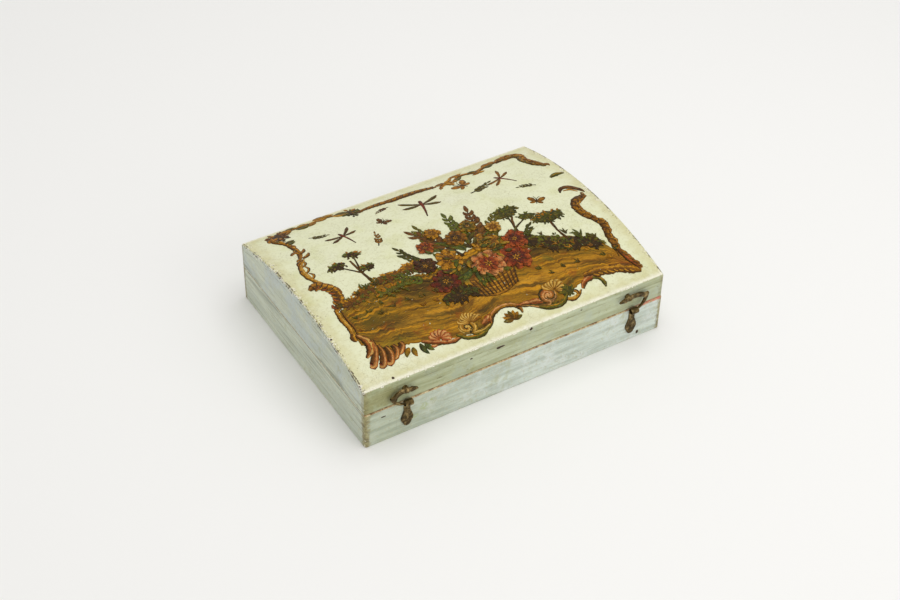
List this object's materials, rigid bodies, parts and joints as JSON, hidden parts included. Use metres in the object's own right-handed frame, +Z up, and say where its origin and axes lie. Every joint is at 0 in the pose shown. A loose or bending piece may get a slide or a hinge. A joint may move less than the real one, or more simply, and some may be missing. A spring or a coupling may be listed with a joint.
{
  "type": "games box",
  "caption": "Rectangular wooden games box with a low domed hinged lid, paired swan-neck hook latches, and a divided interior holding small lidded counter boxes.",
  "frame": {"origin": "middle of the underside, on the surface that the box stands on", "axes": "+X to the right of someone facing the latches, +Y to the hinged back, +Z up"},
  "size_m": [0.3, 0.2356, 0.079],
  "materials": {
    "lid_lacquer": "cream paint over gesso with pasted ornament under aged satin varnish",
    "side_lacquer": "pale blue-green paint, worn and rubbed at the edges",
    "red_bole": "coral red distemper",
    "bare_pine": "old bare softwood",
    "box_lacquer": "cream paint under satin varnish",
    "aged_brass": "dark patina, rubbed bright on the high spots",
    "iron_nails": "forged, dull"
  },
  "bodies": {
    "base": {"base_back": "side_lacquer", "base_bottom": "bare_pine", "base_bottom_nails": "iron_nails", "base_front": "side_lacquer", "base_left": "side_lacquer", "base_right": "side_lacquer", "divider_cross": "red_bole", "divider_left": "red_bole", "divider_right": "red_bole", "hinge_base_nails": "aged_brass", "hinge_left_base_leaf": "aged_brass", "hinge_left_pin": "aged_brass", "hinge_right_base_leaf": "aged_brass", "hinge_right_pin": "aged_brass", "latch_left_catch_plate": "aged_brass", "latch_nails": "aged_brass", "latch_right_catch_plate": "aged_brass"},
    "lid": {"hinge_left_lid_leaf": "aged_brass", "hinge_lid_nails": "aged_brass", "hinge_right_lid_leaf": "aged_brass", "latch_left_pivot_pin": "aged_brass", "latch_right_pivot_pin": "aged_brass", "lid_back": "side_lacquer", "lid_front": "side_lacquer", "lid_left_end": "side_lacquer", "lid_right_end": "side_lacquer", "lid_stave_1": "lid_lacquer", "lid_stave_2": "lid_lacquer", "lid_stave_3": "lid_lacquer", "lid_stave_4": "lid_lacquer", "lid_stave_5": "lid_lacquer", "lid_stave_pins": "iron_nails"},
    "hook_left": {"latch_left_hook": "aged_brass"},
    "hook_right": {"latch_right_hook": "aged_brass"},
    "tray_left_front": {"counter_box_left_front_floor": "box_lacquer", "counter_box_left_front_walls": "box_lacquer"},
    "tray_lid_left_front": {"counter_box_left_front_lid": "box_lacquer"},
    "tray_left_back": {"counter_box_left_back_floor": "box_lacquer", "counter_box_left_back_walls": "box_lacquer"},
    "tray_lid_left_back": {"counter_box_left_back_lid": "box_lacquer"},
    "tray_right_front": {"counter_box_right_front_floor": "box_lacquer", "counter_box_right_front_walls": "box_lacquer"},
    "tray_lid_right_front": {"counter_box_right_front_lid": "box_lacquer"},
    "tray_right_back": {"counter_box_right_back_floor": "box_lacquer", "counter_box_right_back_walls": "box_lacquer"},
    "tray_lid_right_back": {"counter_box_right_back_lid": "box_lacquer"}
  },
  "joints": [
    {"name": "lid_hinge", "type": "hinge", "parent": "base", "child": "lid", "pos_m": [0, 0.1148, 0.0365], "axis": [-1, 0, 0], "range_deg": [0, 175]},
    {"name": "hook_left_swing", "type": "hinge", "parent": "lid", "child": "hook_left", "pos_m": [-0.112, -0.1153, 0.0507], "axis": [0, 1, 0], "range_deg": [-10, 95]},
    {"name": "hook_right_swing", "type": "hinge", "parent": "lid", "child": "hook_right", "pos_m": [0.1106, -0.1153, 0.053], "axis": [0, -1, 0], "range_deg": [-10, 95]},
    {"name": "tray_left_front_lift", "type": "slide", "parent": "base", "child": "tray_left_front", "axis": [0, 0, 1], "range_m": [0, 0.015]},
    {"name": "tray_lid_left_front_lift", "type": "slide", "parent": "tray_left_front", "child": "tray_lid_left_front", "axis": [0, 0, 1], "range_m": [0, 0.008]},
    {"name": "tray_left_back_lift", "type": "slide", "parent": "base", "child": "tray_left_back", "axis": [0, 0, 1], "range_m": [0, 0.015]},
    {"name": "tray_lid_left_back_lift", "type": "slide", "parent": "tray_left_back", "child": "tray_lid_left_back", "axis": [0, 0, 1], "range_m": [0, 0.008]},
    {"name": "tray_right_front_lift", "type": "slide", "parent": "base", "child": "tray_right_front", "axis": [0, 0, 1], "range_m": [0, 0.015]},
    {"name": "tray_lid_right_front_lift", "type": "slide", "parent": "tray_right_front", "child": "tray_lid_right_front", "axis": [0, 0, 1], "range_m": [0, 0.008]},
    {"name": "tray_right_back_lift", "type": "slide", "parent": "base", "child": "tray_right_back", "axis": [0, 0, 1], "range_m": [0, 0.015]},
    {"name": "tray_lid_right_back_lift", "type": "slide", "parent": "tray_right_back", "child": "tray_lid_right_back", "axis": [0, 0, 1], "range_m": [0, 0.008]}
  ]
}
